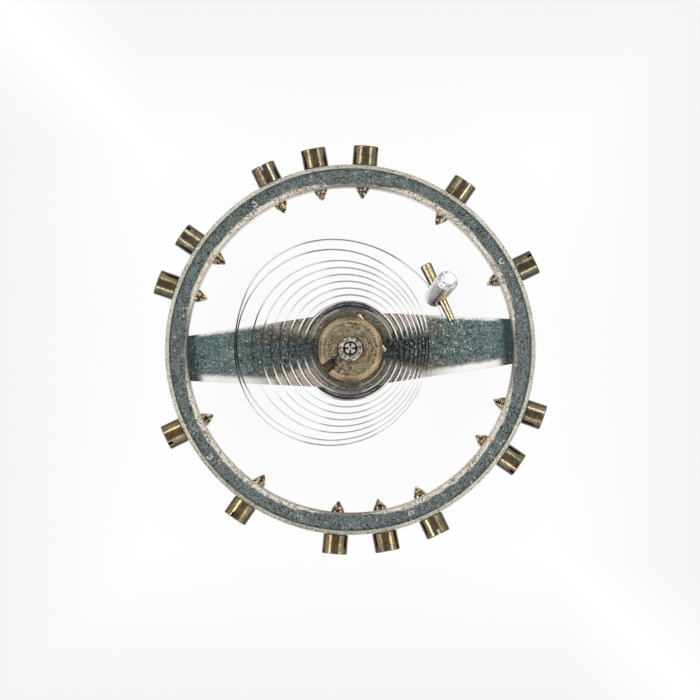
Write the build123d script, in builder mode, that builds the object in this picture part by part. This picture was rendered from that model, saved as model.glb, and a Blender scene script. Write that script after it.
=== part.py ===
from build123d import *
import math
import os

# Balance wheel of a wristwatch with its staff, roller, hairspring and stud.
# Millimetres. The origin is the tip of the lower pivot, +Z runs up the staff
# towards the hairspring, and +X lies along one arm of the wheel.

# Fits
press_gap = 0.004
cut_overrun = 0.3

# Balance staff
pivot_r = 0.055
pivot_length = 0.14
pivot_tip_bevel = 0.01
trumpet_length = 0.13
trumpet_r = 0.165
trumpet_bend = 0.06
roller_seat_r = 0.225
roller_seat_lead = 0.08
flange_r = 0.52
flange_thickness = 0.16
flange_bevel = 0.04
balance_seat_r = 0.40
rivet_r = 0.47
rivet_depth = 0.05
rivet_height = 0.06
collet_seat_r = 0.29
collet_seat_proud = 0.06
collet_seat_bevel = 0.03
upper_arbor_base_r = 0.215
upper_arbor_waist = 0.01
upper_arbor_length = 0.66

# Double roller and impulse jewel
safety_roller_r = 0.58
safety_roller_thickness = 0.20
roller_neck_r = 0.38
roller_neck_length = 0.25
impulse_roller_r = 1.22
impulse_roller_thickness = 0.22
impulse_roller_bevel = 0.05
jewel_r = 0.15
jewel_flat_depth = 0.10
jewel_circle_r = 0.84
jewel_drop = 0.36
jewel_tip_bevel = 0.02
jewel_angle = 180
crescent_r = 0.17
crescent_depth = 0.13

# Balance wheel
rim_outer_r = 4.50
rim_wall = 0.54
rim_height = 0.75
rim_below_arm = 0.08
rim_outer_bevel = 0.10
rim_outer_bevel_drop = 0.07
rim_inner_bevel = 0.05
arm_thickness = 0.22
arm_hub_width = 1.88
arm_rim_width = 1.04
arm_bevel = 0.02
hub_r = 0.97

# Balance screws
screw_head_r = 0.305
screw_head_length = 0.48
screw_slot_width = 0.07
screw_slot_depth = 0.13
screw_slot_step_angle = 52
screw_shank_r = 0.165
screw_shank_proud = 0.06
screw_point_length = 0.21
screw_point_tip_r = 0.012
screw_point_belly = 0.01
screw_grid_angle = 15
screw_grid_start_angle = 7.5
screw_grid_steps = [1, 3, 5, 6, 7, 9, 10]

# Collet
collet_r = 0.79
collet_height = 0.66
collet_bevel = 0.11
collet_bevel_drop = 0.06
collet_foot_bevel = 0.015
collet_slit_inner_width = 0.12
collet_slit_outer_width = 0.27
collet_slit_angle = 215.4
collet_hole_r = 0.11
collet_hole_offset = 0.62
collet_hole_drop = 0.18
collet_hole_angle = 33.5
collet_pin_r = 0.068
collet_pin_proud = 0.06

# Hairspring
blade_thickness = 0.031
blade_height = 0.16
blade_hole_gap = 0.008
spring_collet_gap = 0.07
spring_pitch = 0.161
spring_half_turns = 19
spring_start_angle = -36
spring_drift = 0.50
spring_drift_angle = 172
spring_exit_length = 0.03
spring_far_lift = 0.13
crest_lift = 0.28
crest_angle = 96.2
crest_heading = -3
stud_approach_heading = -50.5
elbow_length = 0.12
tail_length = 0.28

# Stud and its pin
stud_r = 0.262
stud_standoff = 0.075
stud_angle = 29.5
stud_lean_angle = 47.9
stud_tilt = 27
stud_above_hole = 0.83
stud_below_hole = 0.34
stud_top_bevel = 0.03
stud_grip_start = 0.25
stud_foot_r = 0.235
stud_foot_bevel = 0.08
stud_hole_r = 0.175
stud_hole_heading = -68
stud_pin_thick_r = 0.145
stud_pin_thin_r = 0.08
stud_pin_belly = 0.003
stud_pin_length = 1.55
stud_pin_end_bevel = 0.015

# Heights up the staff
trumpet_top_z = pivot_length + trumpet_length
safety_roller_z = trumpet_top_z + roller_seat_lead
neck_z = safety_roller_z + safety_roller_thickness
impulse_roller_z = neck_z + roller_neck_length
flange_z = impulse_roller_z + impulse_roller_thickness
arm_z = flange_z + flange_thickness
arm_top_z = arm_z + arm_thickness
collet_z = arm_top_z + rivet_height
collet_top_z = collet_z + collet_height
seat_top_z = collet_top_z + collet_seat_proud
arbor_top_z = seat_top_z + upper_arbor_length
upper_pivot_z = arbor_top_z + trumpet_length
staff_top_z = upper_pivot_z + pivot_length
rim_z = arm_z - rim_below_arm
rim_top_z = rim_z + rim_height
screw_z = (rim_z + rim_top_z) / 2
spring_z = collet_top_z - collet_hole_drop
rim_inner_r = rim_outer_r - rim_wall


def flat_vector(angle):
    """Unit vector in the XY plane at an angle from +X."""
    return Vector(math.cos(math.radians(angle)), math.sin(math.radians(angle)), 0)


def draw_biarc(start, start_way, end, end_way):
    """Draw two arcs from start to end, tangent to both ways and to each other."""
    chord = end - start
    square = 2 * (start_way.dot(end_way) - 1)
    linear = -2 * chord.dot(start_way + end_way)
    reach = (-linear - math.sqrt(linear**2 - 4 * square * chord.dot(chord))) / (2 * square)
    first_corner = start + start_way * reach
    second_corner = end - end_way * reach
    joint = (first_corner + second_corner) / 2
    TangentArc(start, joint, tangent=start_way)
    TangentArc(joint, end, tangent=second_corner - first_corner)


os.makedirs("parts", exist_ok=True)


# Balance staff, turned in one piece
with BuildPart() as balance_staff:
    with BuildSketch(Plane.XZ):
        with BuildLine():
            Polyline(
                (0, staff_top_z),
                (0, 0),
                (pivot_r - pivot_tip_bevel, 0),
                (pivot_r, pivot_tip_bevel),
                (pivot_r, pivot_length),
            )
            Bezier(
                (pivot_r, pivot_length),
                (pivot_r, pivot_length + trumpet_bend),
                (trumpet_r, trumpet_top_z),
            )
            Polyline(
                (trumpet_r, trumpet_top_z),
                (roller_seat_r, trumpet_top_z),
                (roller_seat_r, flange_z),
                (flange_r - flange_bevel, flange_z),
                (flange_r, flange_z + flange_bevel),
                (flange_r, arm_z),
                (balance_seat_r, arm_z),
                (balance_seat_r, arm_top_z - rivet_depth),
                (rivet_r, arm_top_z),
                (rivet_r, collet_z),
                (collet_seat_r, collet_z),
                (collet_seat_r, seat_top_z - collet_seat_bevel),
                (collet_seat_r - collet_seat_bevel, seat_top_z),
                (upper_arbor_base_r, seat_top_z),
            )
            Bezier(
                (upper_arbor_base_r, seat_top_z),
                (
                    (upper_arbor_base_r + trumpet_r) / 2 - upper_arbor_waist,
                    (seat_top_z + arbor_top_z) / 2,
                ),
                (trumpet_r, arbor_top_z),
            )
            Bezier(
                (trumpet_r, arbor_top_z),
                (pivot_r, upper_pivot_z - trumpet_bend),
                (pivot_r, upper_pivot_z),
            )
            Polyline(
                (pivot_r, upper_pivot_z),
                (pivot_r, staff_top_z - pivot_tip_bevel),
                (pivot_r - pivot_tip_bevel, staff_top_z),
                (0, staff_top_z),
            )
        make_face()
    revolve(axis=Axis.Z)
balance_staff.part.label = "balance_staff"
export_step(balance_staff.part, "parts/balance_staff.step")


# Balance wheel: uncut rim, two arms and hub from one blank
arm_end_x = (rim_inner_r + rim_outer_r) / 2
with BuildPart() as balance_wheel:
    with BuildSketch(Plane.XY.offset(arm_z)):
        with BuildLine():
            Polyline(
                (-arm_end_x, -arm_rim_width / 2),
                (0, -arm_hub_width / 2),
                (arm_end_x, -arm_rim_width / 2),
                (arm_end_x, arm_rim_width / 2),
                (0, arm_hub_width / 2),
                (-arm_end_x, arm_rim_width / 2),
                close=True,
            )
        make_face()
        Circle(hub_r)
    extrude(amount=arm_thickness)
    chamfer(balance_wheel.faces().filter_by(Axis.Z).edges(), length=arm_bevel)
    with BuildSketch(Plane.XZ):
        with BuildLine():
            Polyline(
                (rim_inner_r, rim_z + rim_inner_bevel),
                (rim_inner_r + rim_inner_bevel, rim_z),
                (rim_outer_r - rim_outer_bevel, rim_z),
                (rim_outer_r, rim_z + rim_outer_bevel_drop),
                (rim_outer_r, rim_top_z - rim_outer_bevel_drop),
                (rim_outer_r - rim_outer_bevel, rim_top_z),
                (rim_inner_r + rim_inner_bevel, rim_top_z),
                (rim_inner_r, rim_top_z - rim_inner_bevel),
                close=True,
            )
        make_face()
    revolve(axis=Axis.Z)
    with BuildSketch(Plane.XZ):
        with BuildLine():
            Polyline(
                (0, arm_z - cut_overrun),
                (balance_seat_r + press_gap, arm_z - cut_overrun),
                (balance_seat_r + press_gap, arm_top_z - rivet_depth),
                (rivet_r + press_gap, arm_top_z),
                (rivet_r + press_gap, arm_top_z + cut_overrun),
                (0, arm_top_z + cut_overrun),
                close=True,
            )
        make_face()
    revolve(axis=Axis.Z, mode=Mode.SUBTRACT)
    screw_angles = [
        screw_grid_start_angle + screw_grid_angle * step + half_turn
        for half_turn in (0, 180)
        for step in screw_grid_steps
    ]
    for angle in screw_angles:
        way = flat_vector(angle)
        hole_start = way * (rim_inner_r - cut_overrun) + Vector(0, 0, screw_z)
        with BuildSketch(Plane(origin=hole_start, z_dir=way)):
            Circle(screw_shank_r + press_gap)
        extrude(amount=rim_wall + 2 * cut_overrun, mode=Mode.SUBTRACT)
balance_wheel.part.label = "balance_wheel"
export_step(balance_wheel.part, "parts/balance_wheel.step")


# Balance screws, each with a slotted head outside the rim and a point inside it
def make_balance_screw(angle, slot_angle):
    """One balance screw, seated in the rim at an angle from the arm."""
    way = flat_vector(angle)
    centre = Vector(0, 0, screw_z)
    screw_plane = Plane(origin=centre, x_dir=way, z_dir=way.cross(Vector(0, 0, 1)))
    head_end = rim_outer_r + screw_head_length
    shank_end = rim_inner_r - screw_shank_proud
    tip = shank_end - screw_point_length
    with BuildPart() as screw:
        with BuildSketch(screw_plane):
            with BuildLine():
                Polyline(
                    (tip, 0),
                    (head_end, 0),
                    (head_end, screw_head_r),
                    (rim_outer_r, screw_head_r),
                    (rim_outer_r, screw_shank_r),
                    (shank_end, screw_shank_r),
                )
                Bezier(
                    (shank_end, screw_shank_r),
                    (
                        (shank_end + tip) / 2,
                        (screw_shank_r + screw_point_tip_r) / 2 + screw_point_belly,
                    ),
                    (tip, screw_point_tip_r),
                )
                Line((tip, screw_point_tip_r), (tip, 0))
            make_face()
        revolve(axis=Axis(centre, way))
        with BuildSketch(Plane(origin=centre + way * head_end, z_dir=way)):
            Rectangle(2 * screw_head_r + cut_overrun, screw_slot_width, rotation=slot_angle)
        extrude(amount=-screw_slot_depth, mode=Mode.SUBTRACT)
    return screw


for number, angle in enumerate(screw_angles, start=1):
    balance_screw = make_balance_screw(angle, number * screw_slot_step_angle)
    balance_screw.part.label = f"balance_screw_{number:02d}"
    export_step(balance_screw.part, f"parts/balance_screw_{number:02d}.step")


# Double roller: impulse table above, safety roller below, with its passing crescent
jewel_way = flat_vector(jewel_angle)
jewel_centre = jewel_way * jewel_circle_r
with BuildPart() as double_roller:
    with BuildSketch(Plane.XZ):
        with BuildLine():
            Polyline(
                (roller_seat_r + press_gap, safety_roller_z),
                (safety_roller_r, safety_roller_z),
                (safety_roller_r, neck_z),
                (roller_neck_r, neck_z),
                (roller_neck_r, impulse_roller_z),
                (impulse_roller_r - impulse_roller_bevel, impulse_roller_z),
                (impulse_roller_r, impulse_roller_z + impulse_roller_bevel),
                (impulse_roller_r, flange_z - impulse_roller_bevel),
                (impulse_roller_r - impulse_roller_bevel, flange_z),
                (roller_seat_r + press_gap, flange_z),
                close=True,
            )
        make_face()
    revolve(axis=Axis.Z)
    crescent_centre = jewel_way * (safety_roller_r - crescent_depth + crescent_r)
    with BuildSketch(Plane(origin=crescent_centre + Vector(0, 0, safety_roller_z))):
        Circle(crescent_r)
    extrude(amount=safety_roller_thickness, mode=Mode.SUBTRACT)
    with BuildSketch(
        Plane(
            origin=jewel_centre + Vector(0, 0, impulse_roller_z), x_dir=jewel_way, z_dir=(0, 0, 1)
        )
    ):
        Circle(jewel_r + press_gap)
        with Locations((2 * jewel_r - jewel_flat_depth + press_gap, 0)):
            Rectangle(2 * jewel_r, 3 * jewel_r, mode=Mode.SUBTRACT)
    extrude(amount=impulse_roller_thickness, mode=Mode.SUBTRACT)
double_roller.part.label = "double_roller"
export_step(double_roller.part, "parts/double_roller.step")


# Impulse jewel, a D-shaped ruby pin set through the impulse table, flat outwards
jewel_foot_z = impulse_roller_z - jewel_drop
with BuildPart() as impulse_jewel:
    with BuildSketch(
        Plane(origin=jewel_centre + Vector(0, 0, jewel_foot_z), x_dir=jewel_way, z_dir=(0, 0, 1))
    ):
        Circle(jewel_r)
        with Locations((2 * jewel_r - jewel_flat_depth, 0)):
            Rectangle(2 * jewel_r, 3 * jewel_r, mode=Mode.SUBTRACT)
    extrude(amount=flange_z - jewel_foot_z)
    chamfer(impulse_jewel.faces().sort_by(Axis.Z)[0].edges(), length=jewel_tip_bevel)
impulse_jewel.part.label = "impulse_jewel"
export_step(impulse_jewel.part, "parts/impulse_jewel.step")


# Collet: split brass ring that grips the staff and holds the hairspring's inner end
collet_hole_side = flat_vector(collet_hole_angle)
collet_hole_way = flat_vector(collet_hole_angle - 90)
collet_hole_centre = collet_hole_side * collet_hole_offset + Vector(0, 0, spring_z)
with BuildPart() as collet:
    with BuildSketch(Plane.XZ):
        with BuildLine():
            Polyline(
                (collet_seat_r + press_gap, collet_z),
                (collet_r - collet_foot_bevel, collet_z),
                (collet_r, collet_z + collet_foot_bevel),
                (collet_r, collet_top_z - collet_bevel_drop),
                (collet_r - collet_bevel, collet_top_z),
                (collet_seat_r + press_gap, collet_top_z),
                close=True,
            )
        make_face()
    revolve(axis=Axis.Z)
    with BuildSketch(Plane(origin=(0, 0, collet_z), x_dir=flat_vector(collet_slit_angle))):
        with BuildLine():
            Polyline(
                (0, -collet_slit_inner_width / 2),
                (collet_r, -collet_slit_outer_width / 2),
                (collet_r + cut_overrun, -collet_slit_outer_width / 2),
                (collet_r + cut_overrun, collet_slit_outer_width / 2),
                (collet_r, collet_slit_outer_width / 2),
                (0, collet_slit_inner_width / 2),
                close=True,
            )
        make_face()
    extrude(amount=collet_height, mode=Mode.SUBTRACT)
    with BuildSketch(Plane(origin=collet_hole_centre, z_dir=collet_hole_way)):
        Circle(collet_hole_r)
    extrude(amount=collet_r, both=True, mode=Mode.SUBTRACT)
collet.part.label = "collet"
export_step(collet.part, "parts/collet.step")


# Collet pin, pressed in beside the blade on the outer side of the hole
blade_in_collet = math.sqrt(collet_hole_r**2 - (blade_height / 2) ** 2) - blade_hole_gap
blade_in_collet -= blade_thickness / 2
collet_pin_offset = collet_hole_r - press_gap - collet_pin_r
collet_pin_centre = collet_hole_centre + collet_hole_side * collet_pin_offset
collet_pin_reach = math.sqrt(collet_r**2 - collet_hole_offset**2) + collet_pin_proud
with BuildPart() as collet_pin:
    with BuildSketch(Plane(origin=collet_pin_centre, z_dir=collet_hole_way)):
        Circle(collet_pin_r)
    extrude(amount=collet_pin_reach, both=True)
collet_pin.part.label = "collet_pin"
export_step(collet_pin.part, "parts/collet_pin.step")


# Place of the stud: its body leans, and its pin hole is square to it
hole_plan_way = flat_vector(stud_hole_heading)
lean_way = flat_vector(stud_lean_angle)
stud_tilt_slope = math.tan(math.radians(stud_tilt))
hole_rise = -stud_tilt_slope * hole_plan_way.dot(lean_way)
stud_hole_way = (hole_plan_way + Vector(0, 0, hole_rise)).normalized()
stud_way = (lean_way * stud_tilt_slope + Vector(0, 0, 1)).normalized()
blade_side = flat_vector(stud_hole_heading + 90)

# Route of the hairspring, from the collet outwards and clockwise
spring_inner_r = collet_r + spring_collet_gap + blade_thickness
spring_turns = spring_half_turns / 2
spring_outer_r = spring_inner_r + spring_pitch * spring_turns


def spring_point(turn):
    """Point of the coil after a number of turns from its first full radius."""
    angle = math.radians(spring_start_angle - 360 * turn)
    radius = spring_inner_r + spring_pitch * turn
    if turn == spring_turns - 1:
        radius += spring_far_lift  # the last coil but one lies out on the far side from the stud
    drift = flat_vector(spring_drift_angle) * spring_drift * (turn / spring_turns) ** 2
    return drift + Vector(radius * math.cos(angle), radius * math.sin(angle), spring_z)


def spring_way(turn):
    """Unit tangent of the coil after a number of turns."""
    angle = math.radians(spring_start_angle - 360 * turn)
    radius = spring_inner_r + spring_pitch * turn
    drift = flat_vector(spring_drift_angle) * 2 * spring_drift * turn / spring_turns**2
    along = Vector(math.sin(angle), -math.cos(angle), 0) * 2 * math.pi * radius
    outward = Vector(math.cos(angle), math.sin(angle), 0) * spring_pitch
    return (drift + along + outward).normalized()


blade_in_stud = math.sqrt(stud_hole_r**2 - (blade_height / 2) ** 2) - blade_hole_gap
blade_in_stud -= blade_thickness / 2 + blade_height * abs(stud_hole_way.Z) / 2
stud_circle_r = spring_outer_r + stud_standoff
approach_way = flat_vector(stud_approach_heading)
elbow_way = (approach_way + stud_hole_way).normalized()
elbow_to_hole = stud_hole_way * (stud_r + press_gap)
stud_hole_z = spring_z + elbow_way.Z * elbow_length + elbow_to_hole.Z
stud_hole_centre = flat_vector(stud_angle) * stud_circle_r + Vector(0, 0, stud_hole_z)
blade_at_stud = stud_hole_centre - blade_side * blade_in_stud
elbow_end = blade_at_stud - elbow_to_hole
elbow_start = elbow_end - elbow_way * elbow_length
tail_end = blade_at_stud + stud_hole_way * (stud_r + tail_length)
crest = flat_vector(crest_angle) * (spring_outer_r + crest_lift) + Vector(0, 0, spring_z)

blade_chord = math.sqrt(collet_r**2 - (collet_hole_offset - blade_in_collet) ** 2)
blade_in_hole = collet_hole_centre - collet_hole_side * blade_in_collet
blade_start = blade_in_hole - collet_hole_way * blade_chord
blade_exit = blade_in_hole + collet_hole_way * (blade_chord + spring_exit_length)

with BuildLine() as spring_route:
    Line(blade_start, blade_exit)
    draw_biarc(blade_exit, collet_hole_way, spring_point(0), spring_way(0))
    for half_turn in range(spring_half_turns):
        turn = half_turn / 2
        next_turn = turn + 1 / 2
        draw_biarc(
            spring_point(turn),
            spring_way(turn),
            spring_point(next_turn),
            spring_way(next_turn),
        )
    draw_biarc(spring_point(spring_turns), spring_way(spring_turns), crest, flat_vector(crest_heading))
    draw_biarc(crest, flat_vector(crest_heading), elbow_start, approach_way)
    TangentArc(elbow_start, elbow_end, tangent=approach_way)
    Line(elbow_end, tail_end)

# Hairspring: one flat blade swept along the route
with BuildPart() as hairspring:
    with BuildSketch(Plane(origin=blade_start, x_dir=(0, 0, 1), z_dir=collet_hole_way)):
        Rectangle(blade_height, blade_thickness)
    sweep(path=spring_route.wire())
hairspring.part.label = "hairspring"
export_step(hairspring.part, "parts/hairspring.step")


# Stud: round pin with a cross hole, gripped by its upper end
stud_plane = Plane(
    origin=stud_hole_centre, x_dir=stud_way.cross(stud_hole_way), z_dir=stud_hole_way
)
with BuildPart() as stud:
    with BuildSketch(stud_plane):
        with BuildLine():
            Polyline(
                (0, -stud_below_hole),
                (0, stud_above_hole),
                (stud_r - stud_top_bevel, stud_above_hole),
                (stud_r, stud_above_hole - stud_top_bevel),
                (stud_r, stud_grip_start),
                (stud_foot_r, -stud_below_hole + stud_foot_bevel),
                (stud_foot_r - stud_foot_bevel, -stud_below_hole),
                close=True,
            )
        make_face()
    revolve(axis=Axis(stud_hole_centre, stud_way))
    with BuildSketch(Plane(origin=stud_hole_centre, z_dir=stud_hole_way)):
        Circle(stud_hole_r)
    extrude(amount=2 * stud_r, both=True, mode=Mode.SUBTRACT)
stud.part.label = "stud"
export_step(stud.part, "parts/stud.step")


# Stud pin, filed to a taper with a slight belly, wedges the blade in the stud's hole
stud_pin_taper = (stud_pin_thick_r - stud_pin_thin_r) / stud_pin_length
stud_pin_r_in_hole = (stud_pin_thick_r + stud_pin_thin_r) / 2 + stud_pin_taper * stud_r
stud_pin_offset = stud_hole_r - press_gap - stud_pin_r_in_hole
stud_pin_plane = Plane(
    origin=stud_hole_centre + blade_side * stud_pin_offset,
    x_dir=blade_side,
    z_dir=blade_side.cross(stud_hole_way),
)
with BuildPart() as stud_pin:
    with BuildSketch(stud_pin_plane):
        with BuildLine():
            Bezier(
                (stud_pin_thick_r, -stud_pin_length / 2 + stud_pin_end_bevel),
                ((stud_pin_thick_r + stud_pin_thin_r) / 2 + stud_pin_belly, 0),
                (stud_pin_thin_r, stud_pin_length / 2 - stud_pin_end_bevel),
            )
            Polyline(
                (stud_pin_thin_r, stud_pin_length / 2 - stud_pin_end_bevel),
                (stud_pin_thin_r - stud_pin_end_bevel, stud_pin_length / 2),
                (0, stud_pin_length / 2),
                (0, -stud_pin_length / 2),
                (stud_pin_thick_r - stud_pin_end_bevel, -stud_pin_length / 2),
                (stud_pin_thick_r, -stud_pin_length / 2 + stud_pin_end_bevel),
            )
        make_face()
    revolve(axis=Axis(stud_pin_plane.origin, stud_hole_way))
stud_pin.part.label = "stud_pin"
export_step(stud_pin.part, "parts/stud_pin.step")


# Measures of the hairspring
route = spring_route.wire()
route_steps = 1200
route_points = [route.position_at(step / route_steps) for step in range(route_steps + 1)]
one_coil = math.pi * spring_inner_r / route.length * route_steps
spring_gap = min(
    (first - second).length
    for index, first in enumerate(route_points)
    for second in route_points[index + int(one_coil):]
)
arc_radii = [edge.radius for edge in spring_route.edges().filter_by(GeomType.CIRCLE)]
print("hairspring length", round(route.length, 2))
print("hairspring volume", round(hairspring.part.volume, 4))
print("section times length", round(route.length * blade_thickness * blade_height, 4))
print("least gap between turns", round(spring_gap - blade_thickness, 3))
print("least bend radius", round(min(arc_radii), 3))
print("staff length", round(staff_top_z, 3))
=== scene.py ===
# Balance wheel of a wristwatch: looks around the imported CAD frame.
# Pieces are modelled in millimetres and brought to metres when they are finished.
import math
import bmesh
import bpy
from mathutils import Matrix, Vector
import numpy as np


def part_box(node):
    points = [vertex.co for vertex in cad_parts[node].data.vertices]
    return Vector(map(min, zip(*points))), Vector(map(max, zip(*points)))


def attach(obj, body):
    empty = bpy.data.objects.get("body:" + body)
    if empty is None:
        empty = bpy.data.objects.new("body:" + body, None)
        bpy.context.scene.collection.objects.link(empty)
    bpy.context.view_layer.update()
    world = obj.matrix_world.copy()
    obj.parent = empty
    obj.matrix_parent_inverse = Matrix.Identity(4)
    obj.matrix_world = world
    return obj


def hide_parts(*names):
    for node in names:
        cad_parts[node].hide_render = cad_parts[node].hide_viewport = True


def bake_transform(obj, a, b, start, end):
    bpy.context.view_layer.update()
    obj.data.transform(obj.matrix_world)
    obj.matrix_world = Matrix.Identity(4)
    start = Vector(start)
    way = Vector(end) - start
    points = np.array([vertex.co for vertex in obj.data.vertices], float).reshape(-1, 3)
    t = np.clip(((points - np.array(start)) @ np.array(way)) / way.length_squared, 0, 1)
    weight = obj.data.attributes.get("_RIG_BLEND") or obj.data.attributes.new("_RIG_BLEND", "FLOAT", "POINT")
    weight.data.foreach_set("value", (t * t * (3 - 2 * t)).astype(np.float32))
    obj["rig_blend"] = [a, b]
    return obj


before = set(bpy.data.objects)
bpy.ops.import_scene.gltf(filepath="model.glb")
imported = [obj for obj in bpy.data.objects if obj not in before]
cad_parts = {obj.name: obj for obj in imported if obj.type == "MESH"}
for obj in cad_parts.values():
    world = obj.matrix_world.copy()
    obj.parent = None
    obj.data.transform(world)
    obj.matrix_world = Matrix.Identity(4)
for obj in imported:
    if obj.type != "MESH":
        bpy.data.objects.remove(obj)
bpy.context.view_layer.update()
mm = 0.001
print("frame loaded:", len(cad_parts), "nodes")


# Sizes from the frame, in millimetres
def boxOf(node):
    low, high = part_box(node)
    return low / mm, high / mm


def flatWay(angle):
    return Vector((math.cos(math.radians(angle)), math.sin(math.radians(angle)), 0))


wheelLow, wheelHigh = boxOf("balance_wheel")
colletLow, colletHigh = boxOf("collet")
staffLow, staffHigh = boxOf("balance_staff")


# Camera, as the photograph was taken: nearly straight down, a little from the -Y side
view = {
    "frameWidth": 16.98,          # width of the frame at the height of the rim's face
    "distance": 100,
    "tilt": 1.5,
    "turn": 3.05,                 # the wheel stands turned by this much in the photograph
    "offset": (-0.007, -0.014),
    "sensorWidth": 36,
    "nearAndFar": (0.002, 2),     # in metres
}
turnBack = Matrix.Rotation(math.radians(-view["turn"]), 4, "Z")
lean = math.radians(view["tilt"])
cameraRight = turnBack @ Vector((1, 0, 0))
cameraBack = turnBack @ Vector((0, -math.sin(lean), math.cos(lean)))
cameraUp = cameraBack.cross(cameraRight)
aim = turnBack @ Vector((*view["offset"], wheelHigh.z))
bpy.ops.object.camera_add()
camera = bpy.context.object
camera.name = "topCamera"
camera.data.sensor_width = view["sensorWidth"]
camera.data.lens = view["sensorWidth"] * view["distance"] / view["frameWidth"]
camera.data.clip_start, camera.data.clip_end = view["nearAndFar"]
cameraTurn = Matrix((cameraRight, cameraUp, cameraBack)).transposed().to_4x4()
camera.matrix_world = Matrix.Translation((aim + cameraBack * view["distance"]) * mm) @ cameraTurn
bpy.context.scene.camera = camera
bpy.context.scene.view_settings.view_transform = "Standard"
print("camera placed")


# Node trees. A value is a socket or a number, and what works on sockets finds their tree by itself.
def isSocket(value):
    return isinstance(value, bpy.types.NodeSocket)


def putIn(socket, value):
    if isSocket(value):
        value.id_data.links.new(value, socket)
    else:
        socket.default_value = (*value, 1) if socket.type == "RGBA" else value


def addNode(tree, kind, *values, settings=None, **named):
    node = tree.nodes.new(kind)
    for key, value in (settings or {}).items():
        setattr(node, key, value)
    for socket, value in zip(node.inputs, values):
        putIn(socket, value)
    for label, value in named.items():
        putIn(node.inputs[label], value)
    return node


def calculate(operation, *values, clamp=False):
    tree = next(value.id_data for value in values if isSocket(value))
    settings = {"operation": operation, "use_clamp": clamp}
    return addNode(tree, "ShaderNodeMath", *values, settings=settings).outputs[0]


def times(first, *others):
    for other in others:
        first = calculate("MULTIPLY", first, other)
    return first


def plus(first, *others):
    for other in others:
        first = calculate("ADD", first, other)
    return first


def minus(first, second):
    return calculate("SUBTRACT", first, second)


def larger(first, second):
    return calculate("MAXIMUM", first, second)


def sizeOf(value):
    return calculate("ABSOLUTE", value)


def blendOf(*pairs):
    # sum of values, each times its weight
    return plus(*[times(value, weight) for value, weight in pairs])


def vectorMath(operation, first, second=(0, 0, 0)):
    node = addNode(first.id_data, "ShaderNodeVectorMath", first, second, settings={"operation": operation})
    return node.outputs["Value" if operation in ("DOT_PRODUCT", "LENGTH", "DISTANCE") else "Vector"]


def splitAxes(vector):
    return addNode(vector.id_data, "ShaderNodeSeparateXYZ", vector).outputs


def spread(value, low, high, toLow=0.0, toHigh=1.0, kind="SMOOTHSTEP"):
    # runs from toLow where the value is low to toHigh where it is high
    settings = {"interpolation_type": kind}
    node = addNode(value.id_data, "ShaderNodeMapRange", value, low, high, toLow, toHigh, settings=settings)
    return node.outputs[0]


def grade(share, atNone, atFull):
    return spread(share, 0.0, 1.0, atNone, atFull)


def mixColour(share, first, second):
    node = addNode(share.id_data, "ShaderNodeMix", share, settings={"data_type": "RGBA"})
    putIn(node.inputs[6], first)
    putIn(node.inputs[7], second)
    return node.outputs[2]


def paint(colour, *coats):
    # each coat is a share and the colour that it lays over what is there
    for share, coat in coats:
        colour = mixColour(share, colour, coat)
    return colour


def placeInMillimetres(tree, turn=0.0):
    coordinates = addNode(tree, "ShaderNodeTexCoord")
    mapping = addNode(tree, "ShaderNodeMapping", coordinates.outputs["Object"],
                      Rotation=(0, 0, math.radians(turn)), Scale=(1 / mm, 1 / mm, 1 / mm))
    return mapping.outputs[0]


def newMaterial(name, turn=0.0):
    material = bpy.data.materials.new(name)
    material.use_nodes = True
    tree = material.node_tree
    tree.nodes.clear()
    return material, tree, placeInMillimetres(tree, turn)


# Floor: it greys a little towards the photograph's edges, but stays white along one diagonal
floorPlan = {
    "width": 400,
    "gap": 0.02,                  # below the tip of the lower pivot
    "shade": 0.905,               # at the photograph's edges
    "fadeWidth": 0.43,            # lengths as shares of the half frame: from its edge inwards,
    "whiteDiagonal": 0.37,        # off the diagonal, where it greys in full,
    "allAround": (1.1, 1.6),      # and past the frame, where the diagonal greys too
    "cornerRounding": 0.6,        # in millimetres
    "shadowShare": 0.09,
}
bpy.ops.object.select_all(action="DESELECT")
bpy.ops.mesh.primitive_plane_add(size=floorPlan["width"] * mm,
                                 location=(0, 0, (staffLow.z - floorPlan["gap"]) * mm))
floor = bpy.context.object
floor.name = "paleFloor"
halfFrame = view["frameWidth"] / 2 * (1 + wheelHigh.z / view["distance"])
paleFloor, tree, place = newMaterial("paleFloor", view["turn"])
alongX, alongY = splitAxes(place)[:2]
reach = calculate("SMOOTH_MAX", sizeOf(alongX), sizeOf(alongY), floorPlan["cornerRounding"])
reach = calculate("DIVIDE", reach, halfFrame)
fade = spread(reach, 1 - floorPlan["fadeWidth"], 1.0, kind="LINEAR")
diagonal = sizeOf(calculate("DIVIDE", plus(alongX, alongY), halfFrame))
offDiagonal = spread(diagonal, 0.0, floorPlan["whiteDiagonal"], kind="LINEAR")
offDiagonal = larger(offDiagonal, spread(reach, *floorPlan["allAround"]))
white = spread(calculate("MINIMUM", fade, offDiagonal), 0.0, 1.0, 1.0, floorPlan["shade"], kind="LINEAR")
rays = addNode(tree, "ShaderNodeLightPath").outputs
seen = larger(rays["Is Camera Ray"], larger(rays["Is Glossy Ray"], rays["Is Transmission Ray"]))
glow = addNode(tree, "ShaderNodeEmission", white, 1.0)
matte = addNode(tree, "ShaderNodeBsdfDiffuse", white)
keepShadow = addNode(tree, "ShaderNodeMixShader", times(seen, 1 - floorPlan["shadowShare"]),
                     matte.outputs[0], glow.outputs[0])
addNode(tree, "ShaderNodeOutputMaterial", keepShadow.outputs[0])
floor.data.materials.append(paleFloor)

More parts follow.
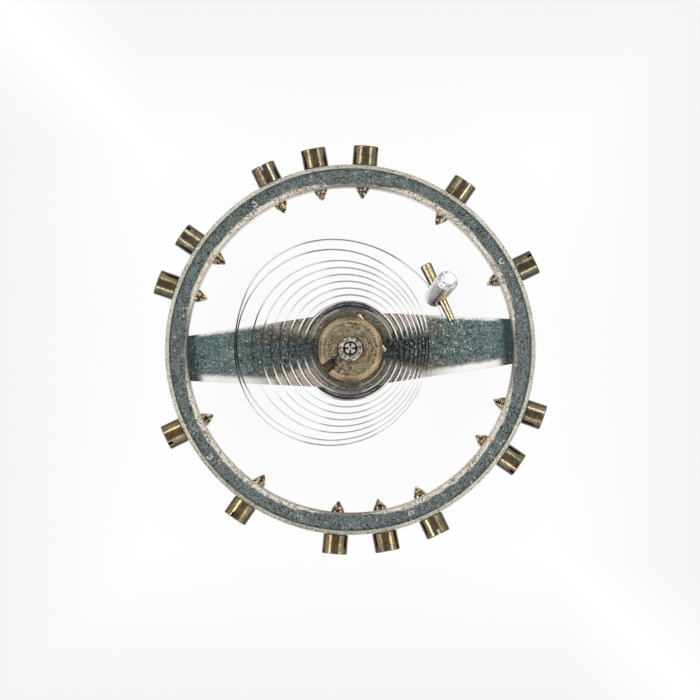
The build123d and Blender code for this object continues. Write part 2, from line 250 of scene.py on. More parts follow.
# The room: pale at the horizon, greyer overhead where the camera hangs
room = {"horizon": 0.70, "overhead": 0.24, "greysBetween": (0.55, 0.97)}
world = bpy.data.worlds.new("studioRoom")
bpy.context.scene.world = world
world.use_nodes = True
tree = world.node_tree
tree.nodes.clear()
upward = splitAxes(addNode(tree, "ShaderNodeTexCoord").outputs["Generated"])[2]
roomShade = spread(upward, *room["greysBetween"], room["horizon"], room["overhead"])
roomLight = addNode(tree, "ShaderNodeBackground", roomShade, 1.0)
addNode(tree, "ShaderNodeOutputWorld", roomLight.outputs[0])

# Ring of soft lamps around the camera, as on a bench microscope, stronger at its four corners
ringLight = {
    "lamps": 12,
    "cornerAngles": (30, 150, 210, 330),
    "distance": 60,
    "offAxis": 47,                # degrees from straight up
    "width": 14,
    "height": 15,
    "power": 0.0020,              # watts each
    "cornerPower": 0.0034,
}
for number in range(ringLight["lamps"]):
    around = 360 // ringLight["lamps"] * (number + 1)
    off = math.radians(ringLight["offAxis"])
    spot = (flatWay(around) * math.sin(off) + Vector((0, 0, math.cos(off)))) * ringLight["distance"]
    lamp = bpy.data.lights.new(f"ringLamp{number:02d}", "AREA")
    lamp.shape = "RECTANGLE"
    lamp.size = ringLight["width"] * mm
    lamp.size_y = ringLight["height"] * mm
    lamp.energy = ringLight["cornerPower"] if around in ringLight["cornerAngles"] else ringLight["power"]
    lampObject = bpy.data.objects.new(lamp.name, lamp)
    bpy.context.scene.collection.objects.link(lampObject)
    lampObject.location = spot * mm
    lampObject.rotation_euler = spot.to_track_quat("Z", "Y").to_euler()
print("floor, room and lamps made")


# Bench work: every new piece is pulled up from a ring or cut from a block
weldDistance = 0.0002
longestCut = 0.4                  # share of an edge that one eased corner may take


def clearSelection():
    if bpy.context.mode != "OBJECT":
        bpy.ops.object.mode_set(mode="OBJECT")
    bpy.ops.object.select_all(action="DESELECT")


def pickOnly(piece):
    clearSelection()
    piece.select_set(True)
    bpy.context.view_layer.objects.active = piece


def easeCorners(profile, easing):
    # each inner corner of the profile becomes three points
    eased = [profile[0]]
    for before, corner, after in zip(profile, profile[1:], profile[2:]):
        back = Vector(before) - Vector(corner)
        ahead = Vector(after) - Vector(corner)
        cut = min(easing, back.length * longestCut, ahead.length * longestCut)
        start = Vector(corner) + back.normalized() * cut
        end = Vector(corner) + ahead.normalized() * cut
        middle = (start + end) / 4 + Vector(corner) / 2
        eased += [tuple(start), tuple(middle), tuple(end)]
    return eased + [profile[-1]]


def turnPiece(name, profile, sides, easing=0.0, hollow=False):
    # a ring is drawn at the first radius, then pulled and resized from point to point
    points = easeCorners(profile, easing) if easing else profile
    clearSelection()
    radius, height = points[0]
    fill = "NOTHING" if hollow else "NGON"
    bpy.ops.mesh.primitive_circle_add(vertices=sides, radius=radius, fill_type=fill, location=(0, 0, height))
    piece = bpy.context.object
    piece.name = name
    bpy.ops.object.transform_apply()
    bpy.ops.object.mode_set(mode="EDIT")
    bpy.ops.mesh.select_all(action="SELECT")
    pull = bpy.ops.mesh.extrude_edges_move if hollow else bpy.ops.mesh.extrude_region_move
    for newRadius, newHeight in points[1:]:
        pull(TRANSFORM_OT_translate={"value": (0, 0, newHeight - height)})
        ratio = newRadius / radius
        bpy.ops.transform.resize(value=(ratio, ratio, 1), center_override=(0, 0, newHeight))
        radius, height = newRadius, newHeight
    bpy.ops.mesh.select_all(action="SELECT")
    bpy.ops.mesh.remove_doubles(threshold=weldDistance)
    bpy.ops.mesh.normals_make_consistent(inside=False)
    bpy.ops.object.mode_set(mode="OBJECT")
    return piece


def makeBar(name, radius, low, high, sides=48):
    return turnPiece(name, [(radius, low), (radius, high)], sides)


def makeBlock(name, middle, size):
    clearSelection()
    bpy.ops.mesh.primitive_cube_add(size=1, location=middle)
    block = bpy.context.object
    block.name = name
    block.scale = size
    bpy.ops.object.transform_apply()
    return block


def widenEnds(block, pastX, ratio):
    # what lies past this distance along X gets wider or narrower along Y
    pickOnly(block)
    bpy.ops.object.mode_set(mode="EDIT")
    mesh = bmesh.from_edit_mesh(block.data)
    for vertex in mesh.verts:
        vertex.select_set(abs(vertex.co.x) > pastX)
    mesh.select_flush(False)
    bmesh.update_edit_mesh(block.data)
    bpy.ops.transform.resize(value=(1, ratio, 1), center_override=(0, 0, 0))
    bpy.ops.object.mode_set(mode="OBJECT")


def applyModifier(piece, kind, name, **settings):
    pickOnly(piece)
    modifier = piece.modifiers.new(name, kind)
    for key, value in settings.items():
        setattr(modifier, key, value)
    bpy.ops.object.modifier_apply(modifier=modifier.name)


def combine(piece, other, operation="DIFFERENCE"):
    applyModifier(piece, "BOOLEAN", "join", object=other, operation=operation, solver="EXACT", use_self=True)
    bpy.data.objects.remove(other)


def easeEdges(piece, width, angle, segments):
    applyModifier(piece, "BEVEL", "easedEdges", width=width, segments=segments,
                  limit_method="ANGLE", angle_limit=math.radians(angle))


def standAt(piece, origin, upWay, sideWay):
    # the piece's own +Z is laid along upWay and its +X towards sideWay
    third = upWay.cross(sideWay).normalized()
    first = third.cross(upWay)
    turn = Matrix((first, third, upWay.normalized())).transposed().to_4x4()
    pickOnly(piece)
    piece.matrix_world = Matrix.Translation(origin) @ turn
    bpy.ops.object.transform_apply()


def finishPiece(piece, material, node, body, smoothAngle=28):
    pickOnly(piece)
    bpy.ops.transform.resize(value=(mm, mm, mm), center_override=(0, 0, 0))
    bpy.ops.object.transform_apply()
    bpy.ops.object.shade_smooth_by_angle(angle=math.radians(smoothAngle))
    piece.data.materials.clear()
    piece.data.materials.append(material)
    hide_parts(node)
    if body:
        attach(piece, body)


# Shared effects. Each reads a place in millimetres and a few numbers, and puts out numbers.
def newGroup(name, outputs, **numbers):
    group = bpy.data.node_groups.new(name, "ShaderNodeTree")
    group.interface.new_socket("Place", in_out="INPUT", socket_type="NodeSocketVector")
    for label, number in numbers.items():
        socket = group.interface.new_socket(label, in_out="INPUT", socket_type="NodeSocketFloat")
        socket.default_value = number
    for label in outputs:
        group.interface.new_socket(label, in_out="OUTPUT", socket_type="NodeSocketFloat")
    return group, addNode(group, "NodeGroupInput").outputs, addNode(group, "NodeGroupOutput").inputs


def useGroup(group, place, **numbers):
    node = addNode(place.id_data, "ShaderNodeGroup", settings={"node_tree": group}, Place=place, **numbers)
    return node.outputs


def makeNoise(place, scale, detail, roughness):
    return addNode(place.id_data, "ShaderNodeTexNoise", Vector=place, Scale=scale, Detail=detail,
                   Roughness=roughness).outputs[0]


# fine grain with mottling at two larger scales
grainGroup, given, made = newGroup("benchGrain", ["Fine", "Middle", "Broad"], FineScale=30.0, BroadScale=1.2)
for label, scale, detail, roughness, low, high in (
        ("Fine", given["FineScale"], 3.0, 0.7, 0.38, 0.62),
        ("Middle", times(given["BroadScale"], 5.0), 4.0, 0.65, 0.34, 0.66),
        ("Broad", given["BroadScale"], 2.0, 0.5, 0.3, 0.7)):
    putIn(made[label], spread(makeNoise(given["Place"], scale, detail, roughness), low, high))

# small round specks, in a share of the cells
specksGroup, given, made = newGroup("brightSpecks", ["Specks"], PerMillimetre=8.0, Size=0.14, Share=0.3)
cells = addNode(specksGroup, "ShaderNodeTexVoronoi", Vector=given["Place"], Scale=given["PerMillimetre"])
dot = calculate("LESS_THAN", cells.outputs["Distance"], given["Size"])
chosen = calculate("LESS_THAN", splitAxes(cells.outputs["Color"])[0], given["Share"])
putIn(made["Specks"], times(dot, chosen))

# marks left by turning, in rings around the staff
turnedGroup, given, made = newGroup("turningMarks", ["Radius", "Marks", "Height"], PerMillimetre=14.0)
radius = vectorMath("LENGTH", vectorMath("MULTIPLY", given["Place"], (1, 1, 0)))
height = splitAxes(given["Place"])[2]
line = addNode(turnedGroup, "ShaderNodeCombineXYZ", radius, height).outputs[0]
putIn(made["Radius"], radius)
putIn(made["Marks"], spread(makeNoise(line, given["PerMillimetre"], 3.0, 0.6), 0.35, 0.65))
putIn(made["Height"], height)

# The four corner sectors around the staff, where painted light falls on the metal.
# FourWay runs softly from 0 beside the axes to 1 beside the diagonals.
cornersGroup, given, made = newGroup("cornerSectors", ["Sectors", "Radius", "FourWay"],
                                     Angle=33.0, HalfWidth=16.0)
fourWayLead = math.radians(5)
alongX, alongY = splitAxes(given["Place"])[:2]
angle = calculate("DEGREES", calculate("ARCTAN2", sizeOf(alongY), sizeOf(alongX)))
away = calculate("DIVIDE", sizeOf(minus(angle, given["Angle"])), given["HalfWidth"])
putIn(made["Sectors"], spread(away, 1.35, 0.65))
squareX = times(alongX, alongX)
squareY = times(alongY, alongY)
squares = plus(squareX, squareY)
putIn(made["Radius"], calculate("SQRT", squares))
doubled = blendOf((times(alongX, alongY), 2 * math.cos(2 * fourWayLead)),
                  (minus(squareX, squareY), math.sin(2 * fourWayLead)))
putIn(made["FourWay"], sizeOf(calculate("DIVIDE", doubled, larger(squares, 0.000001))))


def topShare(tree, low=0.86, high=0.97):
    # 1 on faces that look straight up or down
    normal = addNode(tree, "ShaderNodeNewGeometry").outputs["Normal"]
    return spread(sizeOf(splitAxes(normal)[2]), low, high)


def finishMetal(colour, roughness, relief, reliefDepth, metallic=1.0):
    tree = colour.id_data
    bump = addNode(tree, "ShaderNodeBump", Height=relief, Strength=1.0, Distance=reliefDepth * mm)
    shader = addNode(tree, "ShaderNodeBsdfPrincipled", Metallic=metallic, Roughness=roughness,
                     Normal=bump.outputs[0], **{"Base Color": colour})
    addNode(tree, "ShaderNodeOutputMaterial", shader.outputs[0])


# How the hairspring's coils lie: the blade follows them, and so do the arcs of painted light on the wheel
coils = {
    "innerR": 0.891,
    "pitch": 0.161,
    "turns": 9.5,
    "startAngle": -36,
    "drift": 0.50,                # how far the last turn lies off centre
    "driftAngle": 172,
}

# Balance wheel: rim, arms and hub of one blank
wheel = {
    "rimOuterR": wheelHigh.x,
    "rimWall": 0.54,
    "outerBevel": (0.10, 0.07),   # how far it runs in, and how far it drops
    "innerBevel": (0.05, 0.05),
    "armLow": 1.18,
    "armHigh": 1.40,
    "hubWidth": 1.88,
    "rimEndWidth": 1.04,
    "hubR": 0.97,
    "staffHoleR": 0.404,
    "rimSides": 240,
    "hubSides": 96,
    "holeSides": 64,
    "rimEasing": 0.012,
    "armEasing": 0.02,
    "overrun": 0.1,               # of every cut, past the faces that it cuts
}
rimOuterR = wheel["rimOuterR"]
rimInnerR = rimOuterR - wheel["rimWall"]
rimMiddleR = (rimOuterR + rimInnerR) / 2
outRun, outDrop = wheel["outerBevel"]
inRun, inDrop = wheel["innerBevel"]
rimLow = wheelLow.z
rimHigh = wheelHigh.z
armLow = wheel["armLow"]
armHigh = wheel["armHigh"]
armTaper = (wheel["hubWidth"] - wheel["rimEndWidth"]) / 2 / rimMiddleR
# Nickel of the wheel: dark satin faces, pale turned bevels and walls, arcs of painted light beside the coils
nickel = {
    "faceDark": (0.026, 0.042, 0.048),
    "faceLight": (0.290, 0.330, 0.308),
    "sand": (0.60, 0.57, 0.48),
    "armDark": (0.026, 0.048, 0.051),
    "armLight": (0.330, 0.410, 0.398),
    "teal": (0.065, 0.195, 0.165),
    "blue": (0.085, 0.155, 0.215),
    "hubShade": (0.060, 0.066, 0.066),
    "hubBrown": (0.300, 0.260, 0.190),
    "hubRingLit": (0.640, 0.570, 0.430),
    "coilLightColour": (1.00, 0.86, 0.77),
    "outerPale": (0.86, 0.84, 0.69),
    "innerPale": (0.84, 0.78, 0.66),
    "edgeCream": (1.00, 0.98, 0.91),
    "grimeAndShade": (0.15, 0.12, 0.09),
    "speck": (0.90, 0.90, 0.85),
}
# Where each mark begins and where it is full: R from the staff, X and Y from the wheel's own axes
marks = {
    "faceShadeR": (4.325, 4.375),
    "nearHubR": (2.5, 1.3),
    "tealX": (3.0, 3.45),
    "rimShadeX": (3.66, 3.82),
    "brownR": (2.6, 1.9),
    "brownY": (0.22, 0.42),
    "hubRingR": (1.12, 1.0),
    "hubRingY": (0.15, 0.40),
    "arcsOuterR": (2.35, 2.0),
    "arcsInnerR": (0.95, 1.05),
    "arcsY": (0.30, 0.46),
    "arcsSlant": (0.9, 1.7),      # off the diagonal that stays dull
    "upperFace": (0.08, 0.14),    # above the arms' lower face
    "creamX": (1.5, 2.2),
    "creamEndX": (3.74, 3.56),
    "creamY": (-0.2, 0.2),        # from the broad edge towards -Y to the narrow one
    "creamWidths": (0.20, 0.09),
    "creamWaver": 0.05,
    "armSpecksR": (3.6, 2.2),
    "bandR": 3.985,               # radius that the pale turned band reaches on the rim's face
    "bandHighlightSwell": 0.095,           # and how much further on the diagonals
    "bandWaver": 0.045,
    "bandSoftness": 0.018,
    "rimSoftness": 0.004,
    "outwardR": (4.1, 4.3),
    "lowSideAngle": 248,          # the side where the bevels are greyest
    "lowSide": (2.6, 4.4),
}
wheelNickel, tree, place = newMaterial("wheelNickel")
fine, middle, broad = useGroup(grainGroup, place, FineScale=24.0, BroadScale=0.9)
armSpecks = useGroup(specksGroup, place, PerMillimetre=14.0, Size=0.31, Share=0.42)["Specks"]
faceSpecks = useGroup(specksGroup, place, PerMillimetre=12.0, Size=0.32, Share=0.30)["Specks"]
sectors, radius, fourWay = useGroup(cornersGroup, place, Angle=34.0, HalfWidth=15.0)
alongX, alongY, height = splitAxes(place)
sideX = sizeOf(alongX)
sideY = sizeOf(alongY)
satin = blendOf((fine, 0.68), (middle, 0.18), (broad, 0.14))

# arms: painted shade beside the rim and towards the hub, where the rim, collet and coils shade them; brown
# around the hub
nearHub = spread(radius, *marks["nearHubR"])
crisper = minus(spread(satin, 0.34, 0.64), satin)
tealBand = times(spread(sideX, *marks["tealX"]), spread(broad, 0.2, 0.8, 0.1, 0.7),
                 spread(satin, 0.25, 0.75, 1.0, 0.3))
tealPatches = mixColour(spread(middle, 0.3, 0.7), nickel["teal"], nickel["blue"])
brown = times(spread(sideY, *marks["brownY"]), spread(radius, *marks["brownR"]),
              spread(satin, 0.15, 0.8, 0.25, 1.0))
# the hub's brown, brightened by painted light where the collet and coils shade it
hubRingLit = times(spread(sideY, *marks["hubRingY"]), spread(radius, *marks["hubRingR"]),
                spread(satin, 0.0, 0.8, 0.2, 1.0))
arm = paint(mixColour(plus(satin, times(crisper, nearHub)), nickel["armDark"], nickel["armLight"]),
            (tealBand, tealPatches),
            (spread(sideX, *marks["rimShadeX"], 0.0, 0.62), nickel["armDark"]),
            (times(nearHub, spread(satin, 0.2, 0.75, 0.70, 0.0)), nickel["hubShade"]),
            (brown, nickel["hubBrown"]),
            (hubRingLit, nickel["hubRingLit"]))

# painted light: bright arcs between the drifting coils, in the four corners of the upper face
coilDrift = flatWay(coils["driftAngle"]) * coils["drift"] / coils["turns"] ** 2
turnNumber = calculate("DIVIDE", minus(radius, coils["innerR"]), coils["pitch"])
turnsSquared = times(turnNumber, turnNumber)
centredX = minus(alongX, times(turnsSquared, coilDrift.x))
centredY = minus(alongY, times(turnsSquared, coilDrift.y))
centredR = calculate("SQRT", plus(times(centredX, centredX), times(centredY, centredY)))
turnAngle = calculate("DEGREES", calculate("ARCTAN2", centredY, centredX))
phase = plus(calculate("DIVIDE", minus(centredR, coils["innerR"]), coils["pitch"]),
             calculate("DIVIDE", minus(turnAngle, coils["startAngle"]), 360))
phase = calculate("FRACT", phase)
slant = sizeOf(plus(alongX, alongY))
coilLight = times(spread(phase, 0.06, 0.20), spread(phase, 0.78, 0.58), sectors, spread(sideY, *marks["arcsY"]),
             spread(radius, *marks["arcsOuterR"]), spread(radius, *marks["arcsInnerR"]),
             spread(slant, *marks["arcsSlant"], 0.65, 2.4))
coilLight = calculate("MULTIPLY", coilLight, spread(fine, 0.0, 0.8, 0.45, 1.0), clamp=True)
upperFrom, upperTo = marks["upperFace"]
upperSide = spread(height, armLow + upperFrom, armLow + upperTo)
coilLight = times(coilLight, upperSide)

# cream edge of the arms, a painted highlight, and bright specks
edge = minus(wheel["hubWidth"] / 2, plus(sideY, times(sideX, armTaper)))
edgeWidth = spread(alongY, *marks["creamY"], *marks["creamWidths"])
edgeShare = calculate("DIVIDE", plus(edge, times(fine, marks["creamWaver"])), edgeWidth)
edgeHighlight = times(spread(edgeShare, 1.20, 0.60), spread(sideX, *marks["creamX"]), upperSide,
             spread(sideX, *marks["creamEndX"]))
specked = times(armSpecks, spread(fine, 0.1, 0.7, 0.3, 1.0), spread(radius, *marks["armSpecksR"], 0.35, 1.0))
arm = paint(arm, (coilLight, nickel["coilLightColour"]), (edgeHighlight, nickel["edgeCream"]), (specked, nickel["speck"]))

# rim face, darker beside the outer bevel, with a pale band along its inner edge, widened on the diagonals by
# a painted highlight
bandReach = plus(times(middle, marks["bandWaver"]), marks["bandR"],
                 spread(fourWay, 0.15, 0.70, 0.0, marks["bandHighlightSwell"]))
inBand = spread(minus(radius, bandReach), marks["bandSoftness"], -marks["bandSoftness"])
dust = calculate("MULTIPLY", fine, plus(middle, 0.25), clamp=True)
face = paint(mixColour(satin, nickel["faceDark"], nickel["faceLight"]),
             (spread(radius, *marks["faceShadeR"], 0.0, 0.5), nickel["faceDark"]),
             (times(faceSpecks, spread(middle, 0.2, 1.0, 0.1, 0.75)), nickel["sand"]),
             (inBand, mixColour(dust, nickel["innerPale"], nickel["grimeAndShade"])))

# small round poising marks on the face, each ring open on one side
poising = {
    "places": [(-2.147, 3.638, 200), (3.793, 1.948, 20), (-3.555, -2.408, 120), (1.265, -4.048, 300)],
    "ringR": 0.058,
    "line": (0.026, 0.010),
    "gap": (0.045, 0.02),
    "strength": 0.55,
}
for markX, markY, gapAngle in poising["places"]:
    fromMark = vectorMath("SUBTRACT", place, (markX, markY, rimHigh))
    ring = sizeOf(minus(vectorMath("LENGTH", fromMark), poising["ringR"]))
    ring = times(spread(ring, *poising["line"]),
                 spread(vectorMath("DOT_PRODUCT", fromMark, flatWay(gapAngle)), *poising["gap"]))
    face = mixColour(times(ring, poising["strength"]), face, nickel["speck"])
onRim = spread(radius, rimInnerR - marks["rimSoftness"], rimInnerR + marks["rimSoftness"])

# bevels and walls: grime in the grain, painted shade beside the axes, and greyer on the lower side
outward = spread(radius, *marks["outwardR"])
pale = mixColour(outward, nickel["innerPale"], nickel["outerPale"])
dirtAndShade = larger(spread(times(fine, middle), 0.30, 0.85, 0.0, 0.6),
               times(spread(fourWay, 0.1, 0.8, 1.0, 0.0), grade(outward, 0.75, 0.32)))
lowSide = vectorMath("DOT_PRODUCT", place, flatWay(marks["lowSideAngle"]))
turnedGrain = calculate("ADD", times(satin, grade(outward, 0.35, 0.72)),
                        spread(lowSide, *marks["lowSide"], 0.0, 0.20), clamp=True)
turnedGrain = times(larger(turnedGrain, times(faceSpecks, 0.85)), grade(topShare(tree, 0.05, 0.3), 0.55, 1.0))
pale = mixColour(larger(dirtAndShade, turnedGrain), pale, nickel["grimeAndShade"])
top = topShare(tree)
matt = larger(times(larger(coilLight, edgeHighlight), minus(1.0, onRim)), times(inBand, onRim))
finishMetal(mixColour(top, pale, mixColour(onRim, arm, face)), grade(top, 0.34, 0.44), fine, 0.004,
            grade(times(matt, top), 1.0, 0.12))

# shape of the wheel
rim = turnPiece("balanceRim", [
    (rimMiddleR, rimLow),
    (rimOuterR - outRun, rimLow),
    (rimOuterR, rimLow + outDrop),
    (rimOuterR, rimHigh - outDrop),
    (rimOuterR - outRun, rimHigh),
    (rimInnerR + inRun, rimHigh),
    (rimInnerR, rimHigh - inDrop),
    (rimInnerR, rimLow + inDrop),
    (rimInnerR + inRun, rimLow),
    (rimMiddleR, rimLow),
], wheel["rimSides"], wheel["rimEasing"], hollow=True)
arms = makeBlock("balanceWheel", (0, 0, (armLow + armHigh) / 2),
                 (2 * rimMiddleR, wheel["hubWidth"], armHigh - armLow))
bpy.ops.object.mode_set(mode="EDIT")
bpy.ops.mesh.select_all(action="SELECT")
bpy.ops.mesh.bisect(plane_co=(0, 0, 0), plane_no=(1, 0, 0))
bpy.ops.object.mode_set(mode="OBJECT")
widenEnds(arms, rimInnerR, wheel["rimEndWidth"] / wheel["hubWidth"])
combine(arms, makeBar("wheelHub", wheel["hubR"], armLow, armHigh, wheel["hubSides"]), "UNION")
easeEdges(arms, wheel["armEasing"], 40, 2)
combine(arms, makeBar("staffHole", wheel["staffHoleR"], armLow - wheel["overrun"],
                      armHigh + wheel["overrun"], wheel["holeSides"]))
combine(arms, rim, "UNION")
finishPiece(arms, wheelNickel, "balance_wheel", "balance")
print("balance wheel made")


# Screws: one model, standing on its point along +Z, copied to each place in the rim
screw = {
    "headR": 0.305,
    "headLength": 0.48,
    "headEasing": 0.022,
    "headEasingShare": 0.35,      # how far in the rounded corner's middle lies
    "seatBevel": 0.02,
    "slotWidth": 0.07,
    "slotDepth": 0.13,
    "slotStep": 52,               # turn of the slot from one screw to the next
    "firstSlot": 90,
    "shankR": 0.165,
    "shankProud": 0.06,
    "shankStart": (0.005, 0.022), # past the point: its last root, and full thickness
    "pointLength": 0.21,
    "tip": (0.008, 0.014, 0.004), # radii of the blunt tip, and its length
    "threads": 5,
    "threadDepth": 0.022,
    "firstCrestR": 0.02,
    "crestShare": 0.62,           # of the pitch
    "crestLand": (0.004, 0.008),  # how far a crest falls off, over this length
    "crestToRoot": 0.014,
    "sides": 48,
    "gridStep": 15,
    "count": 14,
}
shankEnd = rimInnerR - screw["shankProud"]
tipAt = shankEnd - screw["pointLength"]
headTop = rimOuterR + screw["headLength"]
headR = screw["headR"]
headEasing = screw["headEasing"]
shankR = screw["shankR"]
threadDepth = screw["threadDepth"]
threads = screw["threads"]
bluntR, tipR, tipLength = screw["tip"]
crestFall, crestLand = screw["crestLand"]
rootAt, shankAt = screw["shankStart"]
screwProfile = [(bluntR, tipAt), (tipR, tipAt + tipLength)]
for thread in range(threads):
    thickness = (thread + 1) / threads
    crestR = screw["firstCrestR"] + (shankR - screw["firstCrestR"]) * thickness
    crestAt = tipAt + screw["pointLength"] * (thread + screw["crestShare"]) / threads
    screwProfile += [(crestR, crestAt), (crestR - crestFall, crestAt + crestLand)]
    if thread < threads - 1:
        screwProfile += [(crestR - threadDepth * thickness, crestAt + screw["crestToRoot"])]
screwProfile += [
    (shankR - threadDepth, shankEnd + rootAt),
    (shankR, shankEnd + shankAt),
    (shankR, rimOuterR),
    (headR - screw["seatBevel"], rimOuterR),
    (headR, rimOuterR + screw["seatBevel"]),
    (headR, headTop - headEasing),
    (headR - headEasing * screw["headEasingShare"], headTop - headEasing * screw["headEasingShare"]),
    (headR - headEasing, headTop),
]
screwModel = turnPiece("balanceScrewModel", screwProfile, screw["sides"])
combine(screwModel, makeBlock("screwSlot", (0, 0, headTop),
                              (3 * headR, screw["slotWidth"], 2 * screw["slotDepth"])))

bronze = {
    "dark": (0.085, 0.068, 0.048),
    "light": (0.42, 0.370, 0.275),
    "golden": (0.52, 0.39, 0.18),
    "side": (0.045, 0.036, 0.025),
    "green": (0.135, 0.150, 0.110),
    "rusty": (0.42, 0.235, 0.115),
    "pointDark": (0.11, 0.085, 0.06),
    "pointLight": (0.80, 0.69, 0.51),
    "goldenSide": (0.0, -6.0),    # X and Y added up, so golden at the lower left
    "headSoftness": 0.05,         # to each side of the rim's inner wall
}
screwBronze, tree, place = newMaterial("screwBronze")
fine, middle, broad = useGroup(grainGroup, place, FineScale=14.0, BroadScale=0.33)
fineTarnish, tarnish = useGroup(grainGroup, place, FineScale=7.0, BroadScale=0.8)[:2]
alongX, alongY = splitAxes(place)[:2]
golden = plus(times(broad, 0.28), spread(plus(alongX, alongY), *bronze["goldenSide"], 0.0, 0.45))
flatPlace = vectorMath("MULTIPLY", place, (1, 1, 0))
onHead = spread(vectorMath("LENGTH", flatPlace), rimInnerR - bronze["headSoftness"],
                rimInnerR + bronze["headSoftness"])
facing = vectorMath("DOT_PRODUCT", vectorMath("NORMALIZE", flatPlace),
                    addNode(tree, "ShaderNodeTexCoord").outputs["Normal"])
# painted shade on the faces of the head that look sideways
flankShade = times(topShare(tree, 0.84, 0.50), spread(facing, 0.85, 0.6))
headColour = paint(mixColour(blendOf((fine, 0.45), (middle, 0.55)), bronze["dark"], bronze["light"]),
                   (golden, bronze["golden"]),
                   (spread(tarnish, 0.40, 0.85, 0.0, 0.70), bronze["green"]),
                   (spread(fineTarnish, 0.60, 0.95, 0.0, 0.50), bronze["rusty"]),
                   (times(onHead, flankShade), bronze["side"]))
pointColour = mixColour(spread(fine, 0.3, 0.7), bronze["pointDark"], bronze["pointLight"])
finishMetal(mixColour(onHead, pointColour, headColour), grade(middle, 0.08, 0.17), fine, 0.0008)
halfStep = screw["gridStep"] / 2
for number in range(1, screw["count"] + 1):
    low, high = boxOf(f"balance_screw_{number:02d}")
    centre = (low + high) / 2
    steps = round((math.degrees(math.atan2(centre.y, centre.x)) - halfStep) / screw["gridStep"])
    outWay = flatWay(steps * screw["gridStep"] + halfStep)
    slotTurn = math.radians(number * screw["slotStep"] + screw["firstSlot"])
    slotWay = Matrix.Rotation(slotTurn, 3, outWay) @ Vector((0, 0, 1))
    copy = screwModel.copy()
    copy.data = screwModel.data.copy()
    copy.name = f"balanceScrew{number:02d}"
    bpy.context.scene.collection.objects.link(copy)
    standAt(copy, Vector((0, 0, centre.z)), outWay, slotWay)
    finishPiece(copy, screwBronze, f"balance_screw_{number:02d}", "balance", 24)
bpy.data.objects.remove(screwModel)
print("screws made")


# Balance staff, turned from one bar of steel
staff = {
    "pivotR": 0.055,
    "pivotLength": 0.14,
    "pivotEnd": [(0.030, 0), (0.046, 0.004), (0.055, 0.018)],   # radius, and distance from the tip
    "trumpetLength": 0.13,
    "trumpetR": 0.165,
    "lowerFlare": 2.4,            # power of the cone's curve below, and above
    "upperFlare": 0.42,
    "flareSteps": 7,
    "rollerSeatR": 0.225,
    "rollerSeatBevel": 0.02,
    "flangeR": 0.52,
    "flangeLow": 1.02,
    "flangeBevel": 0.04,
    "balanceSeatR": 0.40,
    "rivetR": 0.47,
    "rivetHeight": 0.06,
    "rivetFlare": 0.05,
    "colletSeatR": 0.29,
    "colletSeatBevel": 0.03,
    "seatTop": 2.18,
    "upperArborR": 0.215,
    "arborFillet": [(0.008, 0), (-0.004, 0.008), (-0.006, 0.12)],   # off the radius, and above the seat
    "upperArborTop": 2.84,
    "easing": 0.006,
    "sides": 96,
}


def sweepIn(start, end, power):
    # points of a trumpet-like curve between the two
    shares = [step / staff["flareSteps"] for step in range(1, staff["flareSteps"])]
    return [(start[0] + (end[0] - start[0]) * share ** power, start[1] + (end[1] - start[1]) * share)
            for share in shares]


seatTop = staff["seatTop"]
rivetTop = armHigh + staff["rivetHeight"]
trumpetLow = (staff["pivotR"], staff["pivotLength"])
trumpetHigh = (staff["trumpetR"], staff["pivotLength"] + staff["trumpetLength"])
upperLow = (staff["trumpetR"], staff["upperArborTop"])
upperHigh = (staff["pivotR"], staff["upperArborTop"] + staff["trumpetLength"])
staffProfile = staff["pivotEnd"] + [trumpetLow] + sweepIn(trumpetLow, trumpetHigh, staff["lowerFlare"])
staffProfile += [trumpetHigh] + easeCorners([
    (staff["rollerSeatR"] - staff["rollerSeatBevel"], trumpetHigh[1]),
    (staff["rollerSeatR"], trumpetHigh[1] + staff["rollerSeatBevel"]),
    (staff["rollerSeatR"], staff["flangeLow"]),
    (staff["flangeR"] - staff["flangeBevel"], staff["flangeLow"]),
    (staff["flangeR"], staff["flangeLow"] + staff["flangeBevel"]),
    (staff["flangeR"], armLow),
    (staff["balanceSeatR"], armLow),
    (staff["balanceSeatR"], armHigh - staff["rivetFlare"]),
    (staff["rivetR"], armHigh),
    (staff["rivetR"], rivetTop),
    (staff["colletSeatR"], rivetTop),
    (staff["colletSeatR"], seatTop - staff["colletSeatBevel"]),
    (staff["colletSeatR"] - staff["colletSeatBevel"], seatTop),
    *[(staff["upperArborR"] + off, seatTop + above) for off, above in staff["arborFillet"]],
], staff["easing"])
staffProfile += [upperLow] + sweepIn(upperLow, upperHigh, staff["upperFlare"]) + [upperHigh]
staffProfile += [(endR, staffHigh.z - fromTip) for endR, fromTip in reversed(staff["pivotEnd"])]
balanceStaff = turnPiece("balanceStaff", staffProfile, staff["sides"])

steel = {
    "dark": (0.070, 0.065, 0.057),
    "light": (0.98, 0.94, 0.85),
    "quarter": (0.74, 0.65, 0.56),
    "calmDark": (0.30, 0.295, 0.285),
    "calmLight": (0.66, 0.64, 0.60),
    "shadeBlack": (0.008, 0.007, 0.006),
    "neckR": 0.152,
    "neckLine": (0.032, 0.022),   # off the neck's radius, where its black ring begins and is full
    "insideNeck": 0.01,
    "shoulder": (0.13, 0.10),     # below the arbor's top, where the ring begins and is full
}
staffSteel, tree, place = newMaterial("staffSteel")
middle = useGroup(grainGroup, place, FineScale=24.0, BroadScale=2.5)["Middle"]
turnedMarks, height = useGroup(turnedGroup, place, PerMillimetre=22.0)[1:]
radius, fourWay = useGroup(cornersGroup, place)[1:]
scratched = blendOf((middle, 0.6), (turnedMarks, 0.4))
